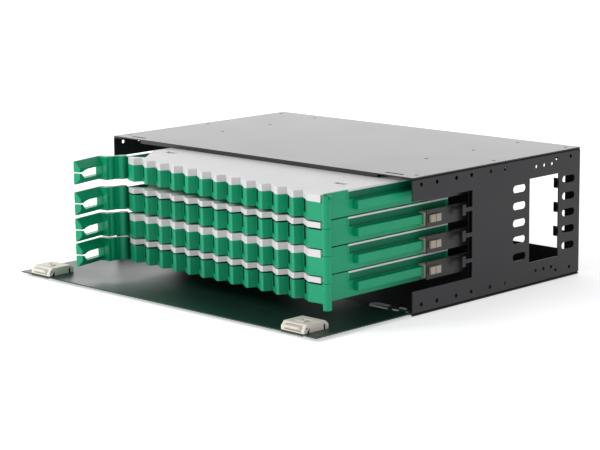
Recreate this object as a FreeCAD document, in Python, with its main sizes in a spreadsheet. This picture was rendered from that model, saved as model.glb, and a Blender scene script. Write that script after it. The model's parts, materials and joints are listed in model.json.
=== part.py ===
import FreeCAD, Part
import os
import re
import Sketcher

# A rack box for ending optical fibres: a sheet-steel chassis with a fold-down front door and
# four slide-out splice trays.  Millimetres.  X runs right, Y back, Z up.  The origin is the
# centre of the chassis's bottom face.

TRAYS = 4
TEETH = 12
SLOT_ROWS = 5

# One line for each size that can be set by itself: alias, value in millimetres (or degrees).
SIZES = [
    ("chassis_width", 430),
    ("chassis_depth", 260),
    ("chassis_height", 132.6),
    ("sheet", 1.2),
    ("bend_radius", 1.6),
    ("flange_width", 14),
    ("lip_drop", 3),
    # side plate cut-outs, measured back from the front edge and up from the base
    ("notch_depth", 87.6),
    ("notch_foot", 23.8),
    ("notch_head", 22.6),
    ("window_front", 177),
    ("window_length", 47.5),
    ("window_foot", 24),
    ("window_head", 23),
    ("tie_slot_length", 20.5),
    ("tie_slot_height", 7.6),
    ("tie_slot_pitch", 17.2),
    ("tie_slot_foot", 33),
    ("tie_column_front", 161),
    ("tie_column_rear", 241),
    ("tee_stem_length", 9.6),
    ("tee_stem_height", 4),
    ("tee_head_length", 5),
    ("tee_head_height", 10.5),
    ("hole_radius", 2.1),
    ("ear_hole_foot", 9.8),
    ("ear_hole_spacing", 115.1),
    ("ear_pair_pitch", 22.6),
    # rear panel
    ("rear_opening_outer", 197),
    ("rear_opening_inner", 118),
    # fasteners
    ("screw_inset", 9),
    ("bracket_screw_spread", 147),
    ("screw_front", 16),
    ("screw_middle", 131),
    ("screw_rear", 247),
    ("screw_radius", 1.9),
    # trays
    ("tray_left", -123),
    ("tray_right", 196),
    ("tray_reach", 104.5),
    ("left_reach", 62),
    ("tray_inside", 74),
    ("tray_pitch", 25.4),
    ("tray_bottom", 27.8),
    ("tray_height", 24.2),
    ("tray_floor", 2),
    ("tray_wall", 2.5),
    ("tray_travel", 125.5),
    ("front_wall_height", 17.2),
    ("front_wall", 3),
    ("cover_plate", 1.8),
    ("band_gap", 1.6),
    ("last_flat", 16.4),
    ("tooth_pitch", 23.35),
    ("tooth_depth", 8),
    ("tooth_step", 4.4),
    ("tip_flat", 3.2),
    ("front_slant", 2.6),
    ("port_width", 10),
    ("port_margin", 1.2),
    ("port_foot", 4.6),
    ("post_radius", 4.2),
    ("post_drop", 6.2),
    ("post_gap", 0.4),
    ("cap_height", 4.4),
    # slide rails
    ("rail_centre", 9.8),
    ("rail_height", 8.6),
    ("rail_reach", 6.3),
    ("rail_front", 60.8),
    ("rail_clearance", 0.4),
    ("guide_wall", 1.8),
    ("guide_front", 29.5),
    ("guide_rear", 155),
    ("strip_height", 17),
    ("strip_sheet", 1.4),
    ("rail_tail", 24),
    # each pulled-out tray hangs a little at its free left side (degrees, top tray first)
    ("droop_one", 0),
    ("droop_two", 1.1),
    ("droop_three", 1.4),
    ("droop_four", 1.5),
    # cable guide ring
    ("ring_length", 41),
    ("ring_width", 8),
    ("ring_height", 23.8),
    ("ring_angle", -76),
    ("ring_slot_height", 9),
    # door and its fittings
    ("door_length", 130),
    ("hinge_out", 0.8),
    ("hinge_up", 2.95),
    ("hinge_room", 3.9),
    ("knuckle_radius", 2.4),
    ("knuckle_start", 200),
    ("knuckle_length", 8),
    ("bolt_radius", 1.3),
    ("bolt_clearance", 0.05),
    ("bolt_legs", 10),
    ("bolt_left", 164),
    ("bolt_travel", 10),
    ("latch_place", 184),
    ("latch_width", 30),
    ("latch_length", 33),
    ("latch_height", 8.4),
    ("latch_slot_width", 22.4),
    ("latch_slot_front", 9.6),
    ("latch_slot_length", 3.4),
    ("nose_width", 20),
    ("latch_gap", 0.3),
]

doc = FreeCAD.newDocument("fiber_termination_box")
sizes = doc.addObject("Spreadsheet::Sheet", "sizes")
for row, (alias, value) in enumerate(SIZES, start=1):
    sizes.set("A%d" % row, alias)
    sizes.set("B%d" % row, str(value))
    sizes.setAlias("B%d" % row, alias)
doc.recompute()

NAMES = {alias for alias, value in SIZES}
FRONT = "(-chassis_depth / 2)"
REAR = "(chassis_depth / 2)"
SIDE = "(chassis_width / 2)"
AXIS_Y = FreeCAD.Rotation(FreeCAD.Vector(1, 0, 0), -90)
AXIS_X = FreeCAD.Rotation(FreeCAD.Vector(0, 1, 0), 90)
# a sketch turned this way draws Y across and Z up, and extrudes along X
SIDE_VIEW = FreeCAD.Rotation(FreeCAD.Vector(1, 1, 1), 120)
# a sketch turned this way draws X across and Z up, and extrudes towards -Y
FRONT_VIEW = FreeCAD.Rotation(FreeCAD.Vector(1, 0, 0), 90)
PLAN_VIEW = FreeCAD.Rotation()

parts = []


def bound(text):
    """Write an expression over the sheet's aliases: each known word gets its sheet name."""
    return re.sub(r"[a-z_]+", lambda word: "sizes." + word[0] if word[0] in NAMES else word[0],
                  str(text))


def number(text):
    """The value an expression has now."""
    result = sizes.evalExpression(bound(text))
    return float(getattr(result, "Value", result))


def bind(thing, **expressions):
    for prop, text in expressions.items():
        thing.setExpression(prop, bound(text))


def place(thing, x="0", y="0", z="0", turn=None):
    if turn is not None:
        thing.Placement = FreeCAD.Placement(FreeCAD.Vector(), turn)
    for axis, text in zip("xyz", (x, y, z)):
        thing.setExpression("Placement.Base." + axis, bound(text))
    return thing


def box(name, low, high):
    """A block between two corners, each three expressions."""
    block = doc.addObject("Part::Box", name)
    lengths = ["( %s ) - ( %s )" % (b, a) for a, b in zip(low, high)]
    bind(block, Length=lengths[0], Width=lengths[1], Height=lengths[2])
    return place(block, *low)


def rod(name, radius, length, at, turn=None):
    """A cylinder from a base point, along Z unless turned."""
    round_bar = doc.addObject("Part::Cylinder", name)
    bind(round_bar, Radius=radius, Height=length)
    return place(round_bar, *at, turn=turn)


def fuse(name, shapes):
    joined = doc.addObject("Part::MultiFuse", name)
    joined.Shapes = shapes
    joined.Refine = True
    return joined


def group(name, shapes):
    bundle = doc.addObject("Part::Compound", name)
    bundle.Links = shapes
    return bundle


def cut(name, base, tools):
    tool = tools[0] if len(tools) == 1 else group(name + "_tools", tools)
    result = doc.addObject("Part::Cut", name)
    result.Base = base
    result.Tool = tool
    result.Refine = True
    return result


def mirror(name, source):
    """The same piece on the other side of the box's middle plane."""
    copy = doc.addObject("Part::Mirroring", name)
    copy.Source = source
    copy.Normal = FreeCAD.Vector(1, 0, 0)
    copy.Base = FreeCAD.Vector(0, 0, 0)
    return copy


def sketch(name, turn=PLAN_VIEW, x="0", y="0", z="0"):
    drawing = doc.addObject("Sketcher::SketchObject", name)
    return place(drawing, x, y, z, turn=turn)


def pin_point(drawing, line, end, across, up):
    """Hold one end of a line at two expressions from the sketch's origin."""
    for kind, text in (("DistanceX", across), ("DistanceY", up)):
        index = drawing.addConstraint(
            Sketcher.Constraint(kind, -1, 1, line, end, number(text)))
        drawing.setExpression("Constraints[%d]" % index, bound(text))


def outline(drawing, points):
    """A closed outline through points that are pairs of expressions."""
    spots = [FreeCAD.Vector(number(a), number(b), 0) for a, b in points]
    first = drawing.GeometryCount
    total = len(points)
    for index in range(total):
        drawing.addGeometry(Part.LineSegment(spots[index], spots[(index + 1) % total]))
    for index in range(total):
        after = first + (index + 1) % total
        drawing.addConstraint(Sketcher.Constraint("Coincident", first + index, 2, after, 1))
    for index, (across, up) in enumerate(points):
        pin_point(drawing, first + index, 1, across, up)


def rectangle(drawing, left, foot, right, head):
    outline(drawing, [(left, foot), (right, foot), (right, head), (left, head)])


def circle(drawing, across, up, radius):
    centre = FreeCAD.Vector(number(across), number(up), 0)
    index = drawing.addGeometry(Part.Circle(centre, FreeCAD.Vector(0, 0, 1), number(radius)))
    pin_point(drawing, index, 3, across, up)
    size = drawing.addConstraint(Sketcher.Constraint("Radius", index, number(radius)))
    drawing.setExpression("Constraints[%d]" % size, bound(radius))


def extrude(name, drawing, length):
    """Extrude a sketch along its normal."""
    solid = doc.addObject("Part::Extrusion", name)
    solid.Base = drawing
    solid.DirMode = "Normal"
    solid.Solid = True
    solid.setExpression("LengthFwd", bound(length))
    return solid


def part(thing, node):
    """Name a finished sub-part, which also names its file."""
    thing.Label = node
    parts.append(thing)
    return thing


def tray_foot(index):
    """Height of a tray's bottom face; tray 1 is the top one."""
    return "( tray_bottom + %d * tray_pitch )" % (TRAYS - index)


# the left guides start behind the cable ring of a pushed-in tray
LEFT_GUIDE_FRONT = "( tray_travel - left_reach + 2.5 )"
GUIDE_BACK = "( tray_right + rail_reach + rail_clearance + guide_wall )"
STRIP_BACK = "( tray_right + rail_reach + rail_clearance + guide_wall + strip_sheet )"
DROOPS = ("droop_one", "droop_two", "droop_three", "droop_four")
PIVOT = "( tray_right + rail_reach / 2 )"


def lean_tray(copy, index):
    """Put a tray at its level, turned about its right rail by its own droop."""
    droop = DROOPS[index - 1]
    turn = FreeCAD.Rotation(FreeCAD.Vector(0, 1, 0), -number(droop))
    place(copy, "%s - %s * cos(%s * 1 deg) + rail_centre * sin(%s * 1 deg)" % (
        PIVOT, PIVOT, droop, droop), "0",
        "%s + rail_centre - %s * sin(%s * 1 deg) - rail_centre * cos(%s * 1 deg)" % (
        tray_foot(index), PIVOT, droop, droop), turn=turn)
    return copy


def left_rail_foot(index):
    """Level of a tray's bottom at its left rail, which its left guide follows."""
    return "( %s - ( %s - tray_left + rail_reach / 2 ) * sin(%s * 1 deg) )" % (
        tray_foot(index), PIVOT, DROOPS[index - 1])


# ---------------------------------------------------------------- chassis sheet metal
def tee_levels():
    """The tie-off tees stand level with the upper part of trays 2, 3 and 4."""
    return ["( %s + 13.3 )" % tray_foot(index) for index in (4, 3, 2)]


def edge_with_tees(edge, inward, levels):
    """Points up one edge of an opening, with T-shaped tabs standing into the opening."""
    points = []
    for level in levels:
        neck = "%s %s tee_stem_length" % (edge, inward)
        face = "%s %s tee_head_length" % (neck, inward)
        for across, half in ((edge, "stem"), (neck, "stem"), (neck, "head"), (face, "head")):
            points.append((across, "%s - tee_%s_height / 2" % (level, half)))
        for across, half in ((face, "head"), (neck, "head"), (neck, "stem"), (edge, "stem")):
            points.append((across, "%s + tee_%s_height / 2" % (level, half)))
    return points


def slot_cutter(name, centre, level):
    """A round-ended slot along Y through a side plate's web."""
    radius = "tie_slot_height / 2"
    half = "( tie_slot_length - tie_slot_height ) / 2"
    web = SIDE + " - 2 * sheet"
    block = box(name + "_mid", (web, "%s + %s - %s" % (FRONT, centre, half), level + " - " + radius),
                (SIDE + " + sheet", "%s + %s + %s" % (FRONT, centre, half), level + " + " + radius))
    ends = [rod("%s_end_%s" % (name, sign), radius, "3 * sheet",
                (web, "%s + %s %s %s" % (FRONT, centre, word, half), level), AXIS_X)
            for sign, word in (("front", "-"), ("rear", "+"))]
    return fuse(name, [block] + ends)


def make_side_plates():
    # C section: a web with flanges turned inwards under the cover and over the pan
    outer = SIDE
    inner = "( %s - sheet )" % SIDE
    tip = "( %s - flange_width )" % SIDE
    foot = "sheet"
    head = "( chassis_height - sheet )"
    profile = sketch("side_profile", FRONT_VIEW, y=REAR)
    outline(profile, [
        (tip, foot), (outer + " - bend_radius", foot), (outer, foot + " + bend_radius"),
        (outer, head + " - bend_radius"), (outer + " - bend_radius", head), (tip, head),
        (tip, head + " - sheet"), (inner, head + " - sheet"), (inner, foot + " + sheet"),
        (tip, foot + " + sheet")])
    folded = extrude("side_folded", profile, "chassis_depth")

    cuts = sketch("side_cuts", SIDE_VIEW, x=SIDE + " - 1.5 * sheet")
    notch_back = FRONT + " + notch_depth"
    before_front = FRONT + " - sheet"
    notch_top = "chassis_height - notch_head"
    outline(cuts, [(before_front, "notch_foot"), (notch_back, "notch_foot")]
            + edge_with_tees(notch_back, "-", tee_levels())
            + [(notch_back, notch_top), (before_front, notch_top)])
    window = FRONT + " + window_front"
    rectangle(cuts, window, "window_foot", window + " + window_length",
              "chassis_height - window_head")
    low = "ear_hole_foot"
    high = "( ear_hole_foot + ear_hole_spacing )"
    for start in ("12.6", "63.7", "115.2"):
        for offset in ("0", "ear_pair_pitch"):
            for level in (low, high):
                circle(cuts, "%s + %s + %s" % (FRONT, start, offset), level, "hole_radius")
    for step in range(3):
        across = "%s + window_front + window_length / 2 + %d * 12.8" % (FRONT, step - 1)
        for level in (low + " + 4.6", high + " - 4.2"):
            circle(cuts, across, level, "hole_radius - 0.2")
    for place_back in ("221", "244"):
        for level in (low, high):
            circle(cuts, "%s + %s" % (FRONT, place_back), level, "hole_radius - 0.2")
    cutter = extrude("side_cutter", cuts, "2 * sheet")

    slots = []
    for column, centre in (("front", "tie_column_front"), ("rear", "tie_column_rear")):
        for index in range(SLOT_ROWS):
            level = "( tie_slot_foot + %d * tie_slot_pitch )" % index
            slots.append(slot_cutter("tie_%s_%d" % (column, index), centre, level))
    screw_holes = [rod("flange_hole_%d_%d" % (end, index), "screw_radius", "3 * sheet",
                       (SIDE + " - screw_inset", "%s + %s" % (FRONT, back), level))
                   for index, back in enumerate(("screw_front", "screw_middle", "screw_rear"))
                   for end, level in enumerate(("0 * sheet", "chassis_height - 3 * sheet"))]
    knuckle_room = box("knuckle_room", ("knuckle_start - 1", FRONT + " - 1", "0"),
                       (SIDE + " - sheet", FRONT + " + 3", "3 * sheet"))
    right = cut("side_right", folded, [cutter] + slots + screw_holes + [knuckle_room])
    part(right, "side_plate_right")
    part(mirror("side_left", right), "side_plate_left")


def screw_spots():
    """X and Y of the flush screws in the cover and pan, right side first."""
    rows = ("screw_front", "screw_middle", "screw_rear")
    return [("%s( %s - screw_inset )" % (sign, SIDE), "%s + %s" % (FRONT, row))
            for sign in ("", "-") for row in rows]


def bracket_screw_spots():
    rows = ("screw_front + 82", "screw_front + 155", "screw_rear - 4")
    return [("%s bracket_screw_spread" % sign, "%s + %s" % (FRONT, row))
            for sign in ("1 *", "-1 *") for row in rows]


def hole_rods(name, spots, radius, foot, length):
    return [rod("%s_%d" % (name, index), radius, length, (across, back, foot))
            for index, (across, back) in enumerate(spots)]


def make_cover_and_pan():
    top = "chassis_height"
    sheet_top = box("cover_sheet", ("-" + SIDE, FRONT, top + " - sheet"), (SIDE, REAR, top))
    lip_half = "( latch_place - latch_slot_width / 2 - 2 )"
    lip = box("cover_lip", ("-" + lip_half, FRONT, top + " - sheet - lip_drop"),
              (lip_half, FRONT + " + sheet", top))
    slots = []
    for side, sign in (("right", "1 *"), ("left", "-1 *")):
        centre = "%s latch_place" % sign
        middle = FRONT + " + latch_slot_front"
        slots.append(box("latch_slot_" + side,
                         (centre + " - latch_slot_width / 2", middle + " - latch_slot_length / 2",
                          top + " - 2 * sheet"),
                         (centre + " + latch_slot_width / 2", middle + " + latch_slot_length / 2",
                          top + " + sheet")))
    spots = screw_spots() + bracket_screw_spots()
    holes = hole_rods("cover_hole", spots, "screw_radius", top + " - 2 * sheet", "3 * sheet")
    part(cut("cover", fuse("cover_blank", [sheet_top, lip]), slots + holes), "top_cover")

    pan = box("pan_sheet", ("-" + SIDE, FRONT, "0"), (SIDE, REAR, "sheet"))
    rooms = []
    for side, sign in (("right", "1 *"), ("left", "-1 *")):
        ends = sorted((sign + " ( knuckle_start - 1 )", sign + " ( %s - sheet )" % SIDE), key=number)
        rooms.append(box("pan_room_" + side, (ends[0], FRONT + " - 1", "-1"),
                         (ends[1], FRONT + " + 3", "2 * sheet")))
    pan_holes = hole_rods("pan_hole", screw_spots(), "screw_radius", "-1 * sheet", "3 * sheet")
    part(cut("pan", pan, rooms + pan_holes), "bottom_pan")

    length = "2 * sheet"
    upper = hole_rods("upper_screw", screw_spots(), "screw_radius", top + " - sheet - 0.3 - sheet",
                      length)
    lower = hole_rods("lower_screw", screw_spots(), "screw_radius", "0.3", length)
    part(group("screws", upper + lower), "cover_screws")


def make_rear_panel():
    inner = "( %s - sheet - 0.2 )" % SIDE
    panel = sketch("rear_outline", FRONT_VIEW, y=REAR)
    foot = "2 * sheet"
    head = "( chassis_height - 2 * sheet )"
    rectangle(panel, "-" + inner, foot, inner, head)
    opening_foot = "notch_foot - 0.4"
    opening_head = "chassis_height - 15"
    outer = "rear_opening_outer"
    outline(panel, [("rear_opening_inner", opening_foot), (outer, opening_foot)]
            + edge_with_tees(outer, "-", tee_levels())
            + [(outer, opening_head), ("rear_opening_inner", opening_head)])
    mirrored = [(across, up) for across, up in
                [("rear_opening_inner", opening_foot), (outer, opening_foot)]
                + edge_with_tees(outer, "-", tee_levels())
                + [(outer, opening_head), ("rear_opening_inner", opening_head)]]
    outline(panel, [("-1 * ( %s )" % across, up) for across, up in reversed(mirrored)])
    web = extrude("rear_web", panel, "sheet")
    flange_end = REAR + " - 12"
    half = "( %s - flange_width - 1 )" % SIDE
    low = box("rear_low_flange", ("-" + half, flange_end, "sheet"), (half, REAR, "2 * sheet"))
    high = box("rear_high_flange", ("-" + half, flange_end, "chassis_height - 2 * sheet"),
               (half, REAR, "chassis_height - sheet"))
    part(fuse("rear", [web, low, high]), "rear_panel")


# ---------------------------------------------------------------- slide rails and supports
def guide_shape(side, near, far):
    """A C-shaped channel with snap tabs, drawn on the right; z is from the tray's bottom."""
    face = "( tray_right + rail_clearance + 0.2 )"
    inner_half = "( rail_height / 2 + rail_clearance )"
    outer_half = "( rail_height / 2 + rail_clearance + guide_wall )"
    web = "( tray_right + rail_reach + rail_clearance )"
    section = sketch("guide_section_" + side, FRONT_VIEW, y="%s + %s" % (FRONT, far))
    outline(section, [
        (face, "rail_centre - " + outer_half), (GUIDE_BACK, "rail_centre - " + outer_half),
        (GUIDE_BACK, "rail_centre + " + outer_half), (face, "rail_centre + " + outer_half),
        (face, "rail_centre + " + inner_half), (web, "rail_centre + " + inner_half),
        (web, "rail_centre - " + inner_half), (face, "rail_centre - " + inner_half)])
    pieces = [extrude("guide_channel_" + side, section, "%s - %s" % (far, near))]
    for end, start in snap_places(near, far):
        tag = "%s_%s" % (side, end)
        pieces.append(box("snap_neck_" + tag, (GUIDE_BACK + " - 0.5", start, "rail_centre - 2.4"),
                          (STRIP_BACK, start + " + 15", "rail_centre + 2.4")))
        pieces.append(box("snap_waist_" + tag, (STRIP_BACK, start + " + 6", "rail_centre - 2"),
                          (STRIP_BACK + " + 1.4", start + " + 9", "rail_centre + 2")))
        for half, shift in (("a", "0"), ("b", "8")):
            pieces.append(box("snap_%s_%s" % (tag, half),
                              (STRIP_BACK, "%s + %s" % (start, shift), "rail_centre - 3.7"),
                              (STRIP_BACK + " + 2.4", "%s + %s + 7" % (start, shift),
                               "rail_centre + 3.7")))
    return fuse("guide_shape_" + side, pieces)


def snap_places(near, far):
    """Where each pair of snap tabs starts along Y."""
    return (("front", "( %s + %s + 5 )" % (FRONT, near)),
            ("rear", "( %s + %s - 20 )" % (FRONT, far)))


def strip_shape(side, near, far):
    """The folded-flat strip that a guide snaps into."""
    plate = box("strip_plate_" + side,
                (GUIDE_BACK, "%s + %s + 1" % (FRONT, near), "rail_centre - strip_height / 2"),
                (STRIP_BACK, "%s + %s + 1" % (FRONT, far), "rail_centre + strip_height / 2"))
    rooms = [box("strip_room_%s_%s" % (side, end), (GUIDE_BACK + " - 1", start + " - 0.2",
                                                    "rail_centre - 2.6"),
                 (STRIP_BACK + " + 1", start + " + 15.2", "rail_centre + 2.6"))
             for end, start in snap_places(near, far)]
    return cut("strip_shape_" + side, plate, rooms)


def make_guides():
    right = ("guide_front", "guide_rear")
    left = (LEFT_GUIDE_FRONT, "guide_rear")
    right_guide = guide_shape("right", *right)
    right_strip = strip_shape("right", *right)
    left_guide = mirror("guide_flip", guide_shape("left", *left))
    left_strip = mirror("strip_flip", strip_shape("left", *left))
    for index in range(1, TRAYS + 1):
        for source, word in ((right_guide, "slide_guide"), (right_strip, "rail_strip")):
            copy = group("%s_r%d" % (word, index), [source])
            part(place(copy, z=tray_foot(index)), "%s_right_%d" % (word, index))
        for source, word in ((left_guide, "slide_guide"), (left_strip, "rail_strip")):
            copy = group("%s_l%d" % (word, index), [source])
            part(place(copy, x="( tray_left + tray_right )", z=left_rail_foot(index)),
                 "%s_left_%d" % (word, index))


def make_supports():
    # right: a hat-shaped upright between the strips and the side plate
    back = STRIP_BACK
    near = FRONT + " + notch_depth + 4"
    far = FRONT + " + guide_rear - 24"
    wall = "( %s - sheet - 0.1 )" % SIDE
    foot = "16"
    head = "( chassis_height - 16 )"
    pieces = [box("right_upright", (back, near, foot), (back + " + sheet", far, head))]
    for name, low, high in (("low", foot, foot + " + sheet"), ("high", head + " - sheet", head)):
        pieces.append(box("right_shelf_" + name, (back, near, low), (wall, far, high)))
    pieces.append(box("right_foot", (wall + " - sheet", near, "4"), (wall, far, foot + " + sheet")))
    pieces.append(box("right_head", (wall + " - sheet", near, head + " - sheet"),
                      (wall, far, "chassis_height - 4")))
    part(fuse("support_right", pieces), "rail_support_right")

    # left: a full-height partition with flanges under the cover and on the pan
    face = "( tray_left - rail_reach - rail_clearance - guide_wall - strip_sheet )"
    start = "( %s + %s + 1.6 )" % (FRONT, LEFT_GUIDE_FRONT)
    end = REAR + " - 14"
    low = "sheet"
    high = "( chassis_height - sheet )"
    edge = "-1 * bracket_screw_spread - 9"
    partition = box("partition", (face + " - sheet", start, low), (face, end, high))
    low_flange = box("partition_foot", (edge, start, low), (face, end, low + " + sheet"))
    high_flange = box("partition_head", (edge, start, high + " - sheet"), (face, end, high))
    room = box("partition_window", (face + " - 3 * sheet", FRONT + " + guide_rear + 12", "28"),
               (face + " + sheet", end + " - 16", "chassis_height - 28"))
    snap_rooms = [room]
    for index in range(1, TRAYS + 1):
        level = "%s + rail_centre" % left_rail_foot(index)
        for end_word, snap in snap_places(LEFT_GUIDE_FRONT, "guide_rear"):
            snap_rooms.append(box("partition_snap_%s_%d" % (end_word, index),
                                  (face + " - 3 * sheet", snap + " - 0.6", level + " - 4.2"),
                                  (face + " + 0.5", snap + " + 15.6", level + " + 4.2")))
    left_spots = bracket_screw_spots()[TRAYS - 1:]
    holes = hole_rods("partition_hole", left_spots, "screw_radius", high + " - 2 * sheet",
                      "3 * sheet")
    blank = fuse("partition_blank", [partition, low_flange, high_flange])
    part(cut("support_left", blank, snap_rooms + holes), "rail_support_left")
    screws = hole_rods("bracket_screw", left_spots, "screw_radius",
                       "chassis_height - 2 * sheet - 0.3", "2 * sheet")
    part(group("bracket_screws", screws), "support_screws")


# ---------------------------------------------------------------- trays
FIRST_TOOTH = "( tray_right - last_flat - %d * tooth_pitch )" % TEETH


def front_line(offset):
    """The toothed front edge from left to right, moved back by an expression."""
    points = [(FIRST_TOOTH + " - 9",
               "%s - tray_reach + %d * front_slant + 3.5 + %s" % (FRONT, TEETH, offset))]
    for index in range(TEETH):
        tip_x = "%s + %d * tooth_pitch" % (FIRST_TOOTH, index)
        tip_y = "%s - tray_reach + %d * front_slant + %s" % (FRONT, TEETH - index, offset)
        points.append((tip_x, tip_y))
        points.append((tip_x + " + tip_flat", tip_y))
        points.append((tip_x + " + tip_flat + tooth_step", tip_y + " + tooth_depth"))
    points.append(("tray_right - last_flat", "%s - tray_reach + %s" % (FRONT, offset)))
    points.append(("tray_right", "%s - tray_reach + %s" % (FRONT, offset)))
    return points


def tray_rear_y():
    return FRONT + " + tray_inside"


LEFT_FRONT_Y = "( %s - left_reach )" % FRONT
RAIL_LOW = "( rail_centre - rail_height / 2 )"
RAIL_HIGH = "( rail_centre + rail_height / 2 )"
POST_SPOT = ("tray_right + 4.4", FRONT + " - tray_reach + 3.6")


def ring_with_slot():
    """The open cable ring, drawn along X from its root and then turned to its place."""
    section = sketch("ring_section", SIDE_VIEW)
    outline(section, [("0", "0"), ("ring_width / 4", "0"), ("ring_width", "ring_height * 0.27"),
                      ("ring_width", "ring_height * 0.7"), ("ring_width / 4", "ring_height"),
                      ("0", "ring_height")])
    bar = extrude("ring_bar", section, "ring_length")
    eye = sketch("ring_eye", FRONT_VIEW, y="ring_width + 1")
    low = "( ring_height - ring_slot_height ) / 2 - 1.6"
    high = "( ring_height + ring_slot_height ) / 2 - 1.6"
    middle = "ring_height / 2 + 0.8"
    outline(eye, [("3.5", low), ("ring_length - 8", low), ("ring_length - 3", middle + " - 1.4"),
                  ("ring_length + 1", middle + " - 1.4"), ("ring_length + 1", middle),
                  ("ring_length - 5", middle), ("ring_length - 8", middle + " + 1.2"),
                  ("ring_length - 11", high + " - 0.4"), ("ring_length - 14", high),
                  ("3.5", high)])
    hole = extrude("ring_hole", eye, "ring_width + 2")
    ring = cut("ring", bar, [hole])
    turned = FreeCAD.Rotation(FreeCAD.Vector(0, 0, 1), number("ring_angle"))
    return place(group("ring_placed", [ring]), "tray_left - 18.5", LEFT_FRONT_Y + " - 22", "0",
                 turn=turned)


def make_tray_post():
    """The round post at the tray's front right corner, which stands over the post below."""
    across, back = POST_SPOT
    front = "( %s - tray_reach )" % FRONT
    bar = rod("post_bar", "post_radius", "tray_pitch - post_gap", (across, back, "-1 * post_drop"))
    web = box("post_web", ("tray_right", front, "0"), (across, front + " + 2.4", "front_wall_height"))
    return fuse("post_shape", [bar, web])


def make_tray_rails():
    """The ribs that run in the guides, one on each side of the tray."""
    rear = tray_rear_y()
    start = FRONT + " - rail_front"
    right = box("rail_right", ("tray_right", start, RAIL_LOW),
                ("tray_right + rail_reach", rear, RAIL_HIGH))
    left = box("rail_left", ("tray_left - rail_reach", start, RAIL_LOW),
               ("tray_left", rear + " + rail_tail", RAIL_HIGH))
    return group("rails_shape", [right, left])


def make_tray_base():
    rear = tray_rear_y()
    shape = sketch("tray_floor_outline")
    outline(shape, front_line("0") + [("tray_right", rear), ("tray_left", rear),
                                      ("tray_left", LEFT_FRONT_Y)])
    floor = extrude("tray_floor_plate", shape, "tray_floor")

    wall = sketch("tray_front_outline")
    outline(wall, front_line("0") + list(reversed(front_line("front_wall"))))
    front = extrude("tray_front", wall, "front_wall_height")

    side_top = "( tray_height - cover_plate )"
    right_front = "( %s - tray_reach )" % FRONT
    pieces = [floor, front]
    pieces.append(box("tray_wall_right", ("tray_right - tray_wall",
                                          right_front + " + front_wall", "0"),
                      ("tray_right", rear, side_top)))
    pieces.append(box("tray_cheek_right", ("tray_right - tray_wall", right_front + " + 5", "0"),
                      ("tray_right", right_front + " + 37", "tray_height")))
    pieces.append(box("tray_wall_left", ("tray_left", LEFT_FRONT_Y, "0"),
                      ("tray_left + tray_wall", rear, side_top)))
    pieces.append(box("tray_wall_rear", ("tray_left", rear + " - tray_wall", "0"),
                      ("tray_right", rear, side_top)))
    # two round-backed bends carry the fibres from the tray's corner to the cable ring
    bend_y = LEFT_FRONT_Y
    pieces.append(rod("tray_bend_rear", "5.2", "ring_height",
                      ("tray_left - 1", bend_y + " - 4.2", "0")))
    pieces.append(rod("tray_bend_front", "5", "ring_height",
                      ("tray_left - 7.3", bend_y + " - 15.8", "0")))
    pieces.append(box("tray_bend_neck", ("tray_left - 7", bend_y + " - 12.5", "0"),
                      ("tray_left - 1.5", bend_y + " - 6.5", "ring_height")))
    pieces.append(box("tray_bend_link", ("tray_left - 18.5", bend_y + " - 23", "0"),
                      ("tray_left - 3.5", bend_y + " - 16.5", "ring_height")))
    pieces.append(ring_with_slot())
    whole = fuse("tray_whole", pieces)

    tools = []
    face_run = "( tooth_pitch - tip_flat - tooth_step )"
    slope = "atan(( tooth_depth + front_slant ) / %s)" % face_run
    lean = FreeCAD.Rotation(FreeCAD.Vector(0, 0, 1), -number(slope))
    for index in range(TEETH):
        port = doc.addObject("Part::Box", "port_%d" % index)
        bind(port, Length="port_width", Width="3 * front_wall",
             Height="front_wall_height - port_foot + 1")
        # the opening starts a margin away from the valley, on the tooth's long face
        across = "%s + %d * tooth_pitch + tip_flat + tooth_step + port_margin * cos(%s)" % (
            FIRST_TOOTH, index, slope)
        back = "%s - tray_reach + %d * front_slant + tooth_depth - port_margin * sin(%s)" % (
            FRONT, TEETH - index, slope)
        place(port, across + " - front_wall * sin(%s)" % slope,
              back + " - front_wall * cos(%s)" % slope, "port_foot", turn=lean)
        tools.append(port)
    recess = box("tray_recess", ("tray_right - 1.2", right_front + " + 38", RAIL_HIGH + " + 0.2"),
                 ("tray_right + 1", rear + " - 4", side_top + " + 1"))
    return cut("tray_shape", whole, tools + [recess])


def make_tray_cover(word, band_foot):
    """A plate over the tray with a toothed band down its front."""
    rear = tray_rear_y()
    under = "( tray_height - cover_plate )"
    inset_right = "( tray_right - tray_wall - 0.3 )"
    plate = sketch("cover_outline_" + word, z=under)
    band_end = "( %s - tray_reach + 4.7 )" % FRONT
    cheek_end = "( %s - tray_reach + 37.3 )" % FRONT
    outline(plate, front_line("0")
            + [("tray_right", band_end), (inset_right, band_end), (inset_right, cheek_end),
               ("tray_right", cheek_end), ("tray_right", rear), ("tray_left", rear),
               ("tray_left", LEFT_FRONT_Y + " + 38.6"),
               (FIRST_TOOTH + " + 7", LEFT_FRONT_Y + " + 1.5"),
               (FIRST_TOOTH + " - 9", LEFT_FRONT_Y + " - 4.5")])
    sheet_top = extrude("cover_plate_" + word, plate, "cover_plate")
    band = sketch("cover_band_outline_" + word, z=band_foot)
    outline(band, front_line("0") + list(reversed(front_line("front_wall"))))
    skirt = extrude("cover_band_" + word, band, "tray_height - ( %s )" % band_foot)
    cover = fuse("cover_whole_" + word, [sheet_top, skirt])
    slots = [box("cover_slot_%s_%s" % (word, side),
                 (across, "%s - %s" % (FRONT, ahead), under + " - 1"),
                 (across + " + 14", "%s - %s + 7" % (FRONT, ahead), "tray_height + 1"))
             for side, across, ahead in (("right", "tray_right - 36", "50"),
                                         ("left", "tray_left + 19", "25"))]
    return cut("cover_shape_" + word, cover, slots)


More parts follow.
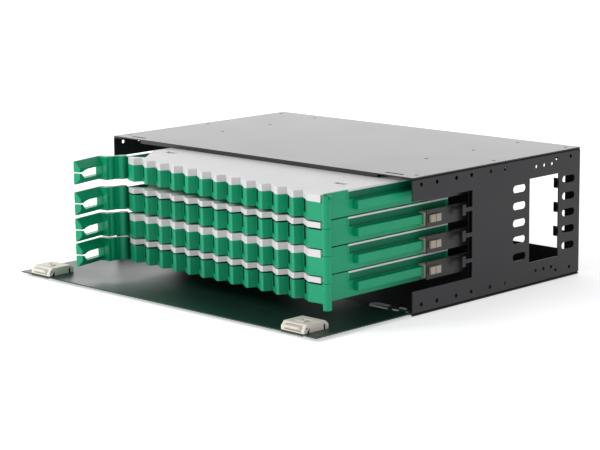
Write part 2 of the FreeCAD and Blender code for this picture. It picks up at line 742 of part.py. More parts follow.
def make_splice_holder():
    """A comb that holds the splice sleeves, standing on the tray's floor."""
    left = "( tray_left + tray_right ) / 2 - 30"
    back = "%s + 18" % FRONT
    base = box("holder_base", (left, back, "tray_floor"), (left + " + 62", back + " + 40",
                                                          "tray_floor + 1.6"))
    ribs = [box("holder_rib_%d" % index,
                ("%s + %g" % (left, 5 * index), back, "tray_floor"),
                ("%s + %g" % (left, 5 * index + 2), back + " + 40", "tray_floor + 8"))
            for index in range(13)]
    return fuse("holder_shape", [base] + ribs)


def make_trays():
    base = make_tray_base()
    # two kinds of cover take turns: one closes on the front wall, one leaves a gap above it
    closed = make_tray_cover("closed", "front_wall_height")
    gapped = make_tray_cover("gapped", "front_wall_height + band_gap")
    holder = make_splice_holder()
    post = make_tray_post()
    rails = make_tray_rails()
    for index in range(1, TRAYS + 1):
        cover = closed if index % 2 else gapped
        for shape, word in ((base, "tray_base"), (cover, "tray_cover"),
                            (holder, "splice_holder"), (post, "tray_post"),
                            (rails, "tray_rails")):
            copy = group("%s_at_%d" % (word, index), [shape])
            part(lean_tray(copy, index), "%s_%d" % (word, index))
    # the top tray's post carries a short open-ended cap
    foot = "%s - post_drop + tray_pitch - post_gap" % tray_foot(1)
    across, back = POST_SPOT
    solid = rod("cap_solid", "post_radius", "cap_height", POST_SPOT + (foot,))
    hollow = rod("cap_hollow", "post_radius - 1.5", "cap_height", POST_SPOT + (foot + " + 1.6",))
    mouth = box("cap_mouth", (across, back + " - 1.4", foot + " + 1.6"),
                (across + " + 6", back + " + 1.4", foot + " + cap_height + 1"))
    part(cut("cap", solid, [hollow, mouth]), "post_cap")


# ---------------------------------------------------------------- door, hinge bolts, latches
AXIS_LINE = ("( %s - hinge_out )" % FRONT, "hinge_up")
DOOR_FOOT = "( hinge_up - 0.35 )"
DOOR_FACE = "( hinge_up - 0.35 + sheet )"


def make_door():
    far = "( %s - hinge_out - door_length )" % FRONT
    near = "( %s - hinge_out + 0.3 )" % FRONT
    panel = box("door_panel", ("-" + SIDE, far, DOOR_FOOT), (SIDE, near, DOOR_FACE))
    knuckles = []
    bores = []
    for side, start in (("right", "knuckle_start"), ("left", "-1 * knuckle_start - knuckle_length")):
        knuckles.append(rod("knuckle_" + side, "knuckle_radius", "knuckle_length",
                            (start,) + AXIS_LINE, AXIS_X))
        bores.append(rod("knuckle_bore_" + side, "bolt_radius + bolt_clearance",
                         "knuckle_length + 60", (start + " - 30",) + AXIS_LINE, AXIS_X))
    rooms = []
    for side, sign in (("right", "1 *"), ("left", "-1 *")):
        ends = sorted(("%s ( bolt_left - bolt_legs / 2 - bolt_radius - bolt_travel - 1 )" % sign,
                       sign + " ( knuckle_start - 0.3 )"), key=number)
        rooms.append(box("door_room_" + side, (ends[0], AXIS_LINE[0] + " - hinge_room", "-1"),
                         (ends[1], FRONT + " + 2", "10")))
    cleared = cut("door_cleared", panel, rooms)
    part(cut("door", fuse("door_blank", [cleared] + knuckles), bores), "front_door")


def make_hinges():
    """A U-shaped bolt on the pan goes through the door's knuckle; a block guides both legs."""
    y_axis, z_axis = AXIS_LINE
    guide_start = "( knuckle_start - 14 )"
    block = box("hinge_block_blank", (guide_start, FRONT + " + 0.2", "sheet"),
                (guide_start + " + 5", FRONT + " + bolt_legs + 3", "6.4"))
    ear = box("hinge_block_ear", (guide_start, FRONT + " - hinge_out - 2.2", "sheet"),
              (guide_start + " + 5", FRONT + " + 1", "5.4"))
    radius = "bolt_radius + bolt_clearance"
    legs = [(y_axis, "pin"), (y_axis + " + bolt_legs", "guide")]
    bores = [rod("block_bore_" + word, radius, "8", (guide_start + " - 1", leg, z_axis), AXIS_X)
             for leg, word in legs]
    block_right = cut("hinge_block", fuse("hinge_block_whole", [block, ear]), bores)
    part(block_right, "hinge_block_right")
    part(mirror("hinge_block_mirror", block_right), "hinge_block_left")

    pin = rod("bolt_pin", "bolt_radius", "knuckle_start + knuckle_length + 1.5 - bolt_left",
              ("bolt_left", y_axis, z_axis), AXIS_X)
    guide = rod("bolt_guide", "bolt_radius", guide_start + " + 13 - bolt_left",
                ("bolt_left", y_axis + " + bolt_legs", z_axis), AXIS_X)
    bow = doc.addObject("Part::Torus", "bolt_bow")
    bind(bow, Radius1="bolt_legs / 2", Radius2="bolt_radius")
    place(bow, "bolt_left", y_axis + " + bolt_legs / 2", z_axis)
    bow_half = cut("bolt_bow_half", bow, [
        box("bow_room", ("bolt_left", y_axis + " - 10", "-10"),
            ("bolt_left + 20", y_axis + " + bolt_legs + 10", "20"))])
    bolt_right = fuse("hinge_bolt", [pin, guide, bow_half])
    part(bolt_right, "hinge_bolt_right")
    part(mirror("hinge_bolt_mirror", bolt_right), "hinge_bolt_left")


def make_latches():
    centre = "latch_place"
    far = "( %s - hinge_out - door_length )" % FRONT
    half = "latch_width / 2"
    base_near = far + " + latch_length"
    top = DOOR_FACE + " + latch_height"
    # body: sloped at the outer end and along both sides, hollow for the slider
    body = sketch("latch_profile", SIDE_VIEW, x=centre + " - " + half)
    outline(body, [(far + " + 1", DOOR_FACE), (base_near, DOOR_FACE),
                   (base_near, DOOR_FACE + " + 5"), (base_near + " - 4", top),
                   (far + " + 5", top), (far + " + 1", DOOR_FACE + " + 4")])
    shell = extrude("latch_shell", body, "latch_width")
    nose_half = "nose_width / 2"
    pocket = box("latch_pocket", (centre + " - %s - latch_gap" % nose_half, far,
                                  DOOR_FACE + " + 1.4"),
                 (centre + " + %s + latch_gap" % nose_half, far + " + 22", top + " - 1.8"))
    thumb_room = box("latch_thumb_room", (centre + " - 6", far + " + 9.7", top + " - 3"),
                     (centre + " + 6", far + " + 21", top + " + 1"))
    base_right = cut("latch_base", shell, [pocket, thumb_room])
    part(base_right, "latch_base_right")
    part(mirror("latch_base_mirror", base_right), "latch_base_left")

    # slider: a wedge nose that snaps into the cover's slot, with a thumb bar in the window
    nose = sketch("nose_profile", SIDE_VIEW, x=centre + " - " + nose_half)
    low = DOOR_FACE + " + 1.4 + latch_gap"
    high = top + " - 1.8 - latch_gap"
    outline(nose, [(far + " - 1.6", high + " - 1.6"), (far + " + 2.5", low), (far + " + 16", low),
                   (far + " + 16", high), (far + " - 1.6", high)])
    wedge = extrude("nose_wedge", nose, "nose_width")
    thumb = box("nose_thumb", (centre + " - 5.5", far + " + 10", high + " - 1"),
                (centre + " + 5.5", far + " + 15", top + " + 0.8"))
    slider_right = fuse("latch_slider", [wedge, thumb])
    part(slider_right, "latch_slider_right")
    part(mirror("latch_slider_mirror", slider_right), "latch_slider_left")

    plate_right = box("latch_plate", (centre + " - 13", far + " - 1.2", DOOR_FOOT + " - 1.1"),
                      (centre + " + 13", far + " + 26", DOOR_FOOT))
    part(plate_right, "latch_plate_right")
    part(mirror("latch_plate_mirror", plate_right), "latch_plate_left")

    spring_right = rod("latch_spring", "1.8", "5.4",
                       (centre, far + " + 16.2", DOOR_FACE + " + latch_height / 2"), AXIS_Y)
    part(spring_right, "latch_spring_right")
    part(mirror("latch_spring_mirror", spring_right), "latch_spring_left")


def check_and_write():
    doc.recompute()
    for thing in doc.Objects:
        state = " ".join(thing.State)
        if "Invalid" in state or "Error" in state:
            raise RuntimeError("%s failed: %s" % (thing.Name, state))
    os.makedirs("parts", exist_ok=True)
    for thing in parts:
        if thing.Shape.isNull() or not thing.Shape.isValid() or thing.Shape.Volume < 1:
            raise RuntimeError("%s has no sound shape" % thing.Label)
    for thing in parts:
        thing.Shape.exportStep("parts/%s.step" % thing.Label)
        print("%-24s solids %2d  volume %10.1f" % (
            thing.Label, len(thing.Shape.Solids), thing.Shape.Volume))


make_side_plates()
make_cover_and_pan()
make_rear_panel()
make_guides()
make_supports()
make_trays()
make_door()
make_hinges()
make_latches()
check_and_write()
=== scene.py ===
import json
import math

import bmesh
import bpy
from mathutils import Matrix, Vector


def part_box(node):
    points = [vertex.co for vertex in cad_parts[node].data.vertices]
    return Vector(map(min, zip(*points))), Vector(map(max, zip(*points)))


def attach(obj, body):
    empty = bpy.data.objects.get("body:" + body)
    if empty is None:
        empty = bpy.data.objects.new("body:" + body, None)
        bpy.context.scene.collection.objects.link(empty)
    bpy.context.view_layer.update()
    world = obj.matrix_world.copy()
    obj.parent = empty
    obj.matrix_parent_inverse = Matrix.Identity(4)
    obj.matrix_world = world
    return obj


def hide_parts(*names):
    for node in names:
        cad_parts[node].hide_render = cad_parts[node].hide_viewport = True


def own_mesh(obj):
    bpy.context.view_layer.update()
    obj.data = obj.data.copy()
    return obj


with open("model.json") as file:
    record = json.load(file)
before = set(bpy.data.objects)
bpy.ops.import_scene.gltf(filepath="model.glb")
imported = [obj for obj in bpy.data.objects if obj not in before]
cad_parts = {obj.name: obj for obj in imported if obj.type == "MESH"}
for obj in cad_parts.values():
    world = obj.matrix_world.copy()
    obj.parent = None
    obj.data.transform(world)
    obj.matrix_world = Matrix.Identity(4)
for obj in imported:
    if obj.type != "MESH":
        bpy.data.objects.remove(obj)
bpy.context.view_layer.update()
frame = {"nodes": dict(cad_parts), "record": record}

# ---------------------------------------------------------------- sizes shared with the design (m)
MM = 0.001
FRONT_Y = -130 * MM
TRAY_RIGHT = 196 * MM
TRAY_REACH = 104.5 * MM
TEETH = 12
TOOTH_PITCH = 23.35 * MM
TOOTH_DEPTH = 8 * MM
TOOTH_STEP = 4.4 * MM
TIP_FLAT = 3.2 * MM
FRONT_SLANT = 2.6 * MM
LAST_FLAT = 16.4 * MM
FIRST_TOOTH = TRAY_RIGHT - LAST_FLAT - TEETH * TOOTH_PITCH
LOWEST_FOOT = 27.8
TRAY_PITCH = 25.4
TRAYS = (1, 2, 3, 4)
TRAY_FOOT = {index: (LOWEST_FOOT + TRAY_PITCH * (4 - index)) * MM for index in TRAYS}
TRAY_DROOP = {1: 0.0, 2: 1.1, 3: 1.4, 4: 1.5}
RAIL_CENTRE = 9.8 * MM
PIVOT_X = TRAY_RIGHT + 3.15 * MM

# ---------------------------------------------------------------- mesh clean-up
WELD = 1e-6
FLAT_WITHIN = math.radians(0.4)
BEVEL_FROM = math.radians(28)
COPY_SHARP = math.radians(30)
MADE_SHARP = math.radians(35)

# ---------------------------------------------------------------- where noise turns into a blend
PATCH_LOW = 0.3
PATCH_HIGH = 0.7
ROLLED_ALONG_X = (0.08, 1, 1)


# ---------------------------------------------------------------- materials
def new_material(name):
    material = bpy.data.materials.new(name)
    material.use_nodes = True
    tree = material.node_tree
    shader = tree.nodes["Principled BSDF"]
    return material, tree, shader


def noise(tree, scale, detail, source):
    node = tree.nodes.new("ShaderNodeTexNoise")
    node.inputs["Scale"].default_value = scale
    node.inputs["Detail"].default_value = detail
    tree.links.new(source, node.inputs["Vector"])
    return node


def ramp(tree, source, low, high, first, second):
    node = tree.nodes.new("ShaderNodeMapRange")
    node.inputs["From Min"].default_value = low
    node.inputs["From Max"].default_value = high
    node.inputs["To Min"].default_value = first
    node.inputs["To Max"].default_value = second
    tree.links.new(source, node.inputs["Value"])
    return node.outputs["Result"]


def mixed_colour(tree, factor, first, second):
    node = tree.nodes.new("ShaderNodeMix")
    node.data_type = "RGBA"
    node.inputs["A"].default_value = (*first, 1)
    node.inputs["B"].default_value = (*second, 1)
    tree.links.new(factor, node.inputs["Factor"])
    return node.outputs["Result"]


def bump(tree, height, strength, distance, shader):
    node = tree.nodes.new("ShaderNodeBump")
    node.inputs["Strength"].default_value = strength
    node.inputs["Distance"].default_value = distance
    tree.links.new(height, node.inputs["Height"])
    tree.links.new(node.outputs["Normal"], shader.inputs["Normal"])


def powder_coat(name, dark, light, rough, grain=1500, uneven=0.045):
    """Fine-texture powder coat: small bumps, with wider patches of slightly different sheen."""
    material, tree, shader = new_material(name)
    place = tree.nodes.new("ShaderNodeTexCoord").outputs["Object"]
    speckle = noise(tree, grain, 3, place)
    patch = noise(tree, 14, 4, place)
    blend = ramp(tree, patch.outputs["Fac"], PATCH_LOW, PATCH_HIGH, 0, 1)
    colour = mixed_colour(tree, blend, dark, light)
    tree.links.new(colour, shader.inputs["Base Color"])
    sheen = ramp(tree, patch.outputs["Fac"], PATCH_LOW, PATCH_HIGH, rough - uneven, rough + uneven)
    tree.links.new(sheen, shader.inputs["Roughness"])
    bump(tree, speckle.outputs["Fac"], strength=0.22, distance=0.00006, shader=shader)
    return material


def moulded(name, dark, light, rough, coat=0.05, shine=0.5):
    """Injection-moulded plastic: faint flow marks and a fine spark-eroded grain."""
    material, tree, shader = new_material(name)
    place = tree.nodes.new("ShaderNodeTexCoord").outputs["Object"]
    drift = noise(tree, 26, 4, place)
    grain = noise(tree, 2400, 2, place)
    blend = ramp(tree, drift.outputs["Fac"], PATCH_LOW, PATCH_HIGH, 0, 1)
    colour = mixed_colour(tree, blend, dark, light)
    tree.links.new(colour, shader.inputs["Base Color"])
    sheen = ramp(tree, drift.outputs["Fac"], PATCH_LOW, PATCH_HIGH, rough - 0.03, rough + 0.05)
    tree.links.new(sheen, shader.inputs["Roughness"])
    bump(tree, grain.outputs["Fac"], strength=0.12, distance=0.00004, shader=shader)
    shader.inputs["Specular IOR Level"].default_value = shine
    shader.inputs["Coat Weight"].default_value = coat
    shader.inputs["Coat Roughness"].default_value = 0.3
    return material


def bright_metal(name, colour, rough, metallic=1.0):
    """Drawn or rolled steel: fine lines along X."""
    material, tree, shader = new_material(name)
    place = tree.nodes.new("ShaderNodeTexCoord").outputs["Object"]
    mapping = tree.nodes.new("ShaderNodeMapping")
    mapping.inputs["Scale"].default_value = ROLLED_ALONG_X
    tree.links.new(place, mapping.inputs["Vector"])
    lines = noise(tree, 900, 3, mapping.outputs["Vector"])
    shader.inputs["Metallic"].default_value = metallic
    darker = tuple(0.8 * part for part in colour)
    blend = ramp(tree, lines.outputs["Fac"], 0.35, 0.65, 0, 1)
    tree.links.new(mixed_colour(tree, blend, darker, colour), shader.inputs["Base Color"])
    sheen = ramp(tree, lines.outputs["Fac"], PATCH_LOW, PATCH_HIGH, rough - 0.05, rough + 0.08)
    tree.links.new(sheen, shader.inputs["Roughness"])
    return material


BLACK = powder_coat("black powder coat", (0.009, 0.0088, 0.012), (0.013, 0.0128, 0.0165), 0.5)
# A lighter copy of the black coat for the top cover: its lighter base colour is painted light
# falling on the top.
BLACK_TOP_PAINTED_LIGHT = powder_coat("black powder coat, top, painted light", (0.015, 0.0145, 0.017), (0.02, 0.019, 0.022), 0.3,
                        grain=900, uneven=0.008)
# The door's black coat is tinted green: a painted green reflection of the trays above it.
BLACK_DOOR_PAINTED_GREEN_REFLECTION = powder_coat("black powder coat, door, painted green reflection", (0.007, 0.03, 0.021),
                         (0.01, 0.038, 0.027), 0.36)
BLACKENED = powder_coat("blackened steel", (0.008, 0.008, 0.009), (0.014, 0.014, 0.015), 0.36)
GREEN = moulded("green plastic", (0.0, 0.3, 0.14), (0.002, 0.35, 0.17), 0.36, coat=0, shine=0.3)
WHITE = moulded("white plastic", (0.66, 0.655, 0.665), (0.7, 0.695, 0.705), 0.42)
CREAM = moulded("cream plastic", (0.74, 0.69, 0.61), (0.8, 0.76, 0.69), 0.5)
# A darker cream than the latches' plastic.
GUIDE = moulded("darker cream plastic", (0.36, 0.31, 0.24), (0.47, 0.41, 0.33), 0.5)
GREY = moulded("grey plastic", (0.22, 0.22, 0.23), (0.28, 0.28, 0.29), 0.5, coat=0)
STEEL = bright_metal("bright steel", (0.74, 0.74, 0.73), 0.24)
BOLT = bright_metal("zinc-plated steel", (0.8, 0.8, 0.79), 0.32, metallic=0.3)
PLATE = bright_metal("rolled steel", (0.42, 0.42, 0.41), 0.35, metallic=0.6)
# Painted shade: a darker copy of the green plastic for the shadowed floor of the side recess.
GREEN_PAINTED_SHADE = moulded("green plastic, painted recess shade", (0.0, 0.15, 0.075), (0.0, 0.19, 0.095), 0.5, coat=0,
                      shine=0.2)
# Black for the port blanks; also used as painted shade for the strip behind the gap above the front
# wall and for the latch marks.
BLACK_INSERT_AND_PAINTED_SHADE = moulded("black port insert and painted shade", (0.001, 0.0018, 0.0015), (0.002, 0.0035, 0.003), 0.6, coat=0,
                 shine=0.2)


# ---------------------------------------------------------------- pieces made from CAD shapes
def copied(node, name, material, bevel=0.0):
    """A piece with the CAD node's shape, its flat faces made whole and its edges softened."""
    source = frame["nodes"][node]
    mesh = source.data.copy()
    mesh.name = name
    mesh.materials.clear()
    mesh.materials.append(material)
    work = bmesh.new()
    work.from_mesh(mesh)
    bmesh.ops.remove_doubles(work, verts=work.verts, dist=WELD)
    bmesh.ops.dissolve_limit(work, angle_limit=FLAT_WITHIN, verts=work.verts,
                             edges=work.edges)
    work.to_mesh(mesh)
    work.free()
    piece = bpy.data.objects.new(name, mesh)
    bpy.context.scene.collection.objects.link(piece)
    for face in mesh.polygons:
        face.use_smooth = True
    if bevel:
        edge = piece.modifiers.new("edges", "BEVEL")
        edge.width = bevel
        edge.segments = 2
        edge.limit_method = "ANGLE"
        edge.angle_limit = BEVEL_FROM
        edge.use_clamp_overlap = True
        edge.harden_normals = True
    normal = piece.modifiers.new("normals", "WEIGHTED_NORMAL")
    normal.keep_sharp = True
    if not bevel:
        mesh.set_sharp_from_angle(angle=COPY_SHARP)
    return piece


def body_of_node():
    owner = {}
    for body, nodes in frame["record"]["behaviour"]["bodies"].items():
        for node in nodes:
            owner[node] = body
    return owner


BODY = body_of_node()


def dressed(node, material, bevel):
    piece = copied(node, "look_" + node, material, bevel)
    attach(piece, BODY[node])
    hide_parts(node)


# ---------------------------------------------------------------- small mesh pieces
class Shape:
    """Gathers prisms and a tube's rings of points into one mesh."""

    def __init__(self):
        self.verts = []
        self.faces = []

    def add(self, verts, faces):
        base = len(self.verts)
        self.verts.extend(verts)
        self.faces.extend([[base + index for index in face] for face in faces])

    def prism(self, ring, offset):
        """A closed ring of points carried along an offset, capped at both ends."""
        count = len(ring)
        far = [point + offset for point in ring]
        faces = [list(reversed(range(count))), list(range(count, 2 * count))]
        for index in range(count):
            after = (index + 1) % count
            faces.append([index, after, count + after, count + index])
        self.add(list(ring) + far, faces)

    def done(self, name, material, body, slot_name, bevel=0.0):
        mesh = bpy.data.meshes.new(name)
        mesh.from_pydata([tuple(point) for point in self.verts], [], self.faces)
        mesh.materials.append(material)
        work = bmesh.new()
        work.from_mesh(mesh)
        bmesh.ops.recalc_face_normals(work, faces=work.faces)
        work.to_mesh(mesh)
        work.free()
        mesh.shade_smooth()
        mesh.set_sharp_from_angle(angle=MADE_SHARP)
        piece = bpy.data.objects.new(name, mesh)
        bpy.context.scene.collection.objects.link(piece)
        if bevel:
            edge = piece.modifiers.new("edges", "BEVEL")
            edge.width = bevel
            edge.segments = 2
            edge.limit_method = "ANGLE"
        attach(piece, body)
        return piece


def tray_matrix(index):
    """From a tray drawn at level zero to its place, hanging a little about its right rail."""
    pivot = Vector((PIVOT_X, 0, RAIL_CENTRE))
    turn = Matrix.Rotation(-math.radians(TRAY_DROOP[index]), 4, "Y")
    lift = Matrix.Translation(Vector((0, 0, TRAY_FOOT[index])))
    return lift @ Matrix.Translation(pivot) @ turn @ Matrix.Translation(-pivot)


def made_in_tray(shape, name, tray, material, slot_name, bevel=0.0):
    """Moves a shape drawn at level zero to its tray's place and makes the piece."""
    place = tray_matrix(tray)
    shape.verts = [place @ point for point in shape.verts]
    shape.done("%s_%d" % (name, tray), material, "tray_%d" % tray, slot_name, bevel=bevel)


def upright(first, second, low, high):
    """An upright rectangle between two points in plan."""
    return [first + Vector((0, 0, low)), second + Vector((0, 0, low)),
            second + Vector((0, 0, high)), first + Vector((0, 0, high))]


# ---------------------------------------------------------------- the chassis and the door
for node in ("side_plate_right", "side_plate_left", "rear_panel", "bottom_pan",
             "rail_support_right", "rail_support_left"):
    dressed(node, BLACK, 0.00025)
dressed("top_cover", BLACK_TOP_PAINTED_LIGHT, 0.0003)
dressed("front_door", BLACK_DOOR_PAINTED_GREEN_REFLECTION, 0.0003)
for node in ("cover_screws", "support_screws", "hinge_block_right", "hinge_block_left"):
    dressed(node, BLACKENED, 0.0001)
for side in ("right", "left"):
    dressed("hinge_bolt_" + side, BOLT, 0)
    dressed("latch_plate_" + side, PLATE, 0.0002)
    dressed("latch_base_" + side, CREAM, 0.0005)
    dressed("latch_slider_" + side, CREAM, 0.0004)
    for index in TRAY_FOOT:
        dressed("rail_strip_%s_%d" % (side, index), BLACKENED, 0.0002)
        dressed("slide_guide_%s_%d" % (side, index), GUIDE, 0.0003)


# ---------------------------------------------------------------- trays
def front_point(index, valley):
    """The tip or the valley of one tooth, in a tray at level zero."""
    x = FIRST_TOOTH + index * TOOTH_PITCH
    y = FRONT_Y - TRAY_REACH + (TEETH - index) * FRONT_SLANT
    if valley:
        return Vector((x + TIP_FLAT + TOOTH_STEP, y + TOOTH_DEPTH, 0))
    return Vector((x, y, 0))


def tooth_steps(index):
    """Along one tooth: tip start, tip end, valley."""
    start = front_point(index, False)
    return start, start + Vector((TIP_FLAT, 0, 0)), front_point(index, True)


def next_tip(index):
    """Where the long face of a tooth ends: the next tooth's tip, or the flat after the last."""
    if index < TEETH - 1:
        return tooth_steps(index + 1)[0]
    return Vector((TRAY_RIGHT - LAST_FLAT, FRONT_Y - TRAY_REACH, 0))


def raised_frames(tray):
    """A thin raised frame on each tooth's steep face, which reads as a shallow inset panel."""
    shape = Shape()
    rim = 0.35 * MM
    outer_left = 0.35 * MM
    inner_left = 1.5 * MM
    right_margin = 0.6 * MM
    bottom = 0.6 * MM
    sill = 1.9 * MM
    lintel = 15.7 * MM
    top = 17 * MM
    for index in range(TEETH):
        _, tip, valley = tooth_steps(index)
        run = valley - tip
        along = run.normalized()
        out = Vector((along.y, -along.x, 0))
        right = run.length - right_margin
        bars = [(outer_left, inner_left, bottom, top), (inner_left, right, bottom, sill),
                (inner_left, right, lintel, top)]
        for begin, end, low, high in bars:
            shape.prism(upright(tip + along * begin, tip + along * end, low, high), out * rim)
    made_in_tray(shape, "tooth_frames", tray, GREEN, "green_plastic", bevel=0.0001)


def cover_ribs(tray):
    """Two fine lines round the cover's front band."""
    shape = Shape()
    levels = (19.6, 21.9)
    line_height = 0.45
    line_proud = 0.22
    for level in levels:
        for index in range(TEETH):
            start, tip, valley = tooth_steps(index)
            for first, second in ((start, tip), (tip, valley), (valley, next_tip(index))):
                along = (second - first).normalized()
                out = Vector((along.y, -along.x, 0)) * line_proud * MM
                shape.prism(upright(first, second, level * MM, (level + line_height) * MM), out)
    made_in_tray(shape, "cover_lines", tray, WHITE, "white_plastic")


def side_ledges(tray):
    """On the right wall: a thin strip up the recess's front end, round its lower corner and
    back along its foot, low enough to pass through the right slide guide."""
    shape = Shape()
    wall = TRAY_RIGHT + 0.02 * MM
    proud = Vector((0.30 * MM, 0, 0))
    front = FRONT_Y - TRAY_REACH + 36 * MM
    back = FRONT_Y + 66 * MM
    low = 15.2 * MM
    high = 21.6 * MM
    corner = 3 * MM
    width = 0.9 * MM
    corner_steps = (18, 36, 54, 72)
    path = [(front, high), (front, low + corner)]
    path += [(front + corner * (1 - math.cos(turn)), low + corner * (1 - math.sin(turn)))
             for turn in (math.radians(step) for step in corner_steps)]
    path += [(front + corner, low), (back, low)]
    for first, second in zip(path, path[1:]):
        line = Vector((0, second[0] - first[0], second[1] - first[1]))
        side_shift = Vector((0, -line.z, line.y)).normalized() * width
        begin = Vector((wall, first[0], first[1]))
        end = Vector((wall, second[0], second[1]))
        shape.prism([begin, end, end - side_shift, begin - side_shift], proud)
    made_in_tray(shape, "side_ledge", tray, GREEN, "green_plastic")


def painted_recess_shade(tray):
    """A darker sheet on the floor of the recess in the right wall: painted shade, the recess being
    in shadow.
    """
    shape = Shape()
    floor_x = TRAY_RIGHT - 1.18 * MM
    front = FRONT_Y - TRAY_REACH + 38.2 * MM
    back = FRONT_Y + 69.8 * MM
    low = 14.5 * MM
    high = 22.2 * MM
    thick = 0.25 * MM
    ring = upright(Vector((floor_x, front, 0)), Vector((floor_x, back, 0)), low, high)
    shape.prism(ring, Vector((thick, 0, 0)))
    made_in_tray(shape, "painted_recess_shade", tray, GREEN_PAINTED_SHADE, "green_plastic")


def port_blanks_and_painted_gap_shade(tray):
    """A black blank in each port, and a black strip behind the line above the front wall: painted
    shade, darkening the gap between wall and cover.
    """
    shape = Shape()
    recess = 0.45 * MM
    thick = 1.9 * MM
    port_start = 1.3
    port_end = 11.1
    port_foot = 4.7 * MM
    port_head = 17 * MM
    strip_low = 16.4 * MM
    strip_high = 22 * MM
    strip_back = 3.15 * MM
    strip_end = TRAY_RIGHT - 3 * MM
    strip_thick = Vector((0, 0.5 * MM, 0))
    back = Vector((0, strip_back, 0))
    for index in range(TEETH):
        start, tip, valley = tooth_steps(index)
        end = next_tip(index)
        along = (end - valley).normalized()
        inward = Vector((-along.y, along.x, 0))
        near = valley + along * port_start * MM + inward * recess
        far = valley + along * port_end * MM + inward * recess
        shape.prism(upright(near, far, port_foot, port_head), inward * thick)
        # The strip: painted shade in the gap between front wall and cover.
        for first, second in ((start, tip), (tip, valley), (valley, end)):
            shape.prism(upright(first + back, second + back, strip_low, strip_high), strip_thick)
    first = Vector((TRAY_RIGHT - LAST_FLAT, FRONT_Y - TRAY_REACH + strip_back, 0))
    second = Vector((strip_end, FRONT_Y - TRAY_REACH + strip_back, 0))
    shape.prism(upright(first, second, strip_low, strip_high), strip_thick)
    made_in_tray(shape, "port_blanks_and_painted_gap_shade", tray, BLACK_INSERT_AND_PAINTED_SHADE, "dark_steel")


for index in TRAY_FOOT:
    port_blanks_and_painted_gap_shade(index)
    side_ledges(index)
    painted_recess_shade(index)
    dressed("tray_post_%d" % index, GREEN, 0.0005)
    dressed("tray_rails_%d" % index, GREEN, 0.0006)
    dressed("tray_base_%d" % index, GREEN, 0.0004)
    dressed("tray_cover_%d" % index, WHITE, 0.0006)
    dressed("splice_holder_%d" % index, GREY, 0.0002)
    raised_frames(index)
    cover_ribs(index)
dressed("post_cap", GREEN, 0.0003)


# ---------------------------------------------------------------- latch details
def coil(side):
    """The latch's coil spring, in place of the design's plain solid."""
    low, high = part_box("latch_spring_" + side)
    centre_x = (low.x + high.x) / 2
    centre_z = (low.z + high.z) / 2
    wire = 0.3 * MM
    radius = (high.x - low.x) / 2 - wire
    turns = 5
    steps = 20
    sides = 8
    length = high.y - low.y - 2 * wire
    verts = []
    faces = []
    total = turns * steps
    for step in range(total + 1):
        angle = 2 * math.pi * step / steps
        outward = Vector((math.cos(angle), 0, math.sin(angle)))
        middle = Vector((centre_x, low.y + wire + length * step / total, centre_z))
        middle += outward * radius
        for spoke in range(sides):
            turn = 2 * math.pi * spoke / sides
            verts.append(middle + wire * (math.cos(turn) * outward
                                          + math.sin(turn) * Vector((0, 1, 0))))
    for step in range(total):
        for spoke in range(sides):
            after = (spoke + 1) % sides
            faces.append([step * sides + spoke, step * sides + after,
                          (step + 1) * sides + after, (step + 1) * sides + spoke])
    faces.append(list(range(sides)))
    faces.append(list(reversed(range(total * sides, (total + 1) * sides))))
    shape = Shape()
    shape.add(verts, faces)
    piece = shape.done("coil_" + side, STEEL, "door", "bare_steel")
    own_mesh(piece)
    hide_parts("latch_spring_" + side)


def latch_painted_gap_shade(side):
    """Painted shade on both flanks of a latch: dark marks standing in for the shadow in the flap's
    gap, its pivot hole and the rear notch.
    """
    low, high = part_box("latch_base_" + side)
    shape = Shape()
    depth = 0.12 * MM
    flap_gap = ((3.4, 0.3), (6.4, 0.3), (7.0, 5.2))
    rear_notch = ((25.5, 0.3), (27.2, 0.3), (27.4, 4.6), (26.4, 5.9), (25.2, 4.8))
    pivot_back = 3.2
    pivot_up = 4.9
    pivot_radius = 0.8
    pivot_sides = 12
    pivot_hole = [(pivot_back + pivot_radius * math.cos(turn),
                   pivot_up + pivot_radius * math.sin(turn))
                  for turn in (2 * math.pi * step / pivot_sides for step in range(pivot_sides))]
    for flank, outward in ((high.x, 1), (low.x, -1)):
        for outline in (flap_gap, rear_notch, pivot_hole):
            ring = [Vector((flank, low.y + back * MM, low.z + up * MM)) for back, up in outline]
            shape.prism(ring, Vector((outward * depth, 0, 0)))
    shape.done("latch_painted_gap_shade_" + side, BLACK_INSERT_AND_PAINTED_SHADE, "door", "dark_steel")


for side in ("right", "left"):
    coil(side)
    latch_painted_gap_shade(side)


# ---------------------------------------------------------------- floor, light and camera
FLOOR_REACH = 16
FLOOR_DROP = 0.5 * MM
FLOOR_GLOW = 0.5
WORLD_GLOW = 0.55

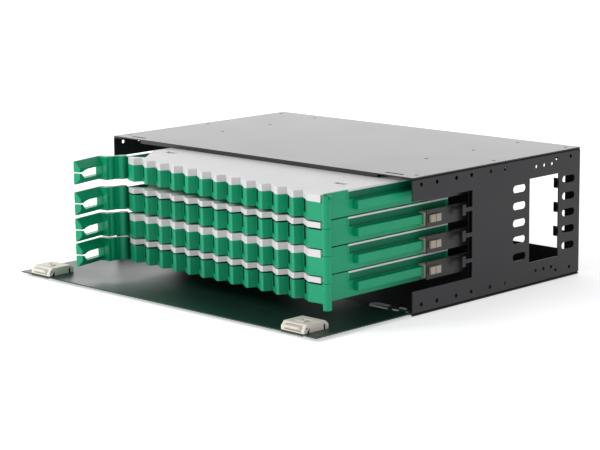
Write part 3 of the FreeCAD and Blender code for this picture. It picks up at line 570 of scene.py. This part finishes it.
floor_mesh = bpy.data.meshes.new("floor")
corners = [(-FLOOR_REACH, -FLOOR_REACH, 0), (FLOOR_REACH, -FLOOR_REACH, 0),
           (FLOOR_REACH, FLOOR_REACH, 0), (-FLOOR_REACH, FLOOR_REACH, 0)]
floor_mesh.from_pydata(corners, [], [(0, 1, 2, 3)])
floor = bpy.data.objects.new("floor", floor_mesh)
floor.location.z = -FLOOR_DROP
bpy.context.scene.collection.objects.link(floor)
floor_paint, _, floor_shader = new_material("pale floor")
floor_shader.inputs["Base Color"].default_value = (0.93, 0.93, 0.93, 1)
floor_shader.inputs["Roughness"].default_value = 0.8
floor_shader.inputs["Emission Color"].default_value = (1, 1, 1, 1)
floor_shader.inputs["Emission Strength"].default_value = FLOOR_GLOW
floor_mesh.materials.append(floor_paint)

world = bpy.data.worlds.new("studio")
world.use_nodes = True
backdrop = world.node_tree.nodes["Background"]
backdrop.inputs["Color"].default_value = (1, 1, 1, 1)
backdrop.inputs["Strength"].default_value = WORLD_GLOW
bpy.context.scene.world = world
bpy.context.scene.view_settings.view_transform = "Standard"


def area_light(name, at, towards, width, height, power):
    light = bpy.data.lights.new(name, "AREA")
    light.shape = "RECTANGLE"
    light.size = width
    light.size_y = height
    light.energy = power
    lamp = bpy.data.objects.new(name, light)
    lamp.location = at
    aim = Vector(towards) - Vector(at)
    lamp.rotation_euler = aim.to_track_quat("-Z", "Y").to_euler()
    bpy.context.scene.collection.objects.link(lamp)


area_light("key", at=(-1.0, -1.7, 1.3), towards=(0, -0.1, 0.05), width=1.2, height=0.9,
           power=24)
area_light("low backdrop", at=(-1.6, 1.9, 0.55), towards=(0, 0, 0.13), width=3.4, height=1.1,
           power=17)

LENS = 117.66
SENSOR_WIDTH = 36
CLIP_START = 0.05
CAMERA_PLACE = (1.40606, -1.48693, 0.43222)
YAW, PITCH, ROLL = (math.radians(angle) for angle in (-44.62, 10.77, -0.62))

camera_data = bpy.data.cameras.new("camera")
camera_data.lens = LENS
camera_data.sensor_width = SENSOR_WIDTH
camera_data.clip_start = CLIP_START
camera = bpy.data.objects.new("camera", camera_data)
bpy.context.scene.collection.objects.link(camera)
ahead = Vector((math.sin(YAW) * math.cos(PITCH), math.cos(YAW) * math.cos(PITCH),
                -math.sin(PITCH)))
side_way = Vector((math.cos(YAW), -math.sin(YAW), 0))
upward = side_way.cross(ahead)
turned_side = side_way * math.cos(ROLL) + upward * math.sin(ROLL)
turned_up = upward * math.cos(ROLL) - side_way * math.sin(ROLL)
basis = Matrix((turned_side, turned_up, -ahead)).transposed().to_4x4()
basis.translation = Vector(CAMERA_PLACE)
camera.matrix_world = basis
bpy.context.scene.camera = camera
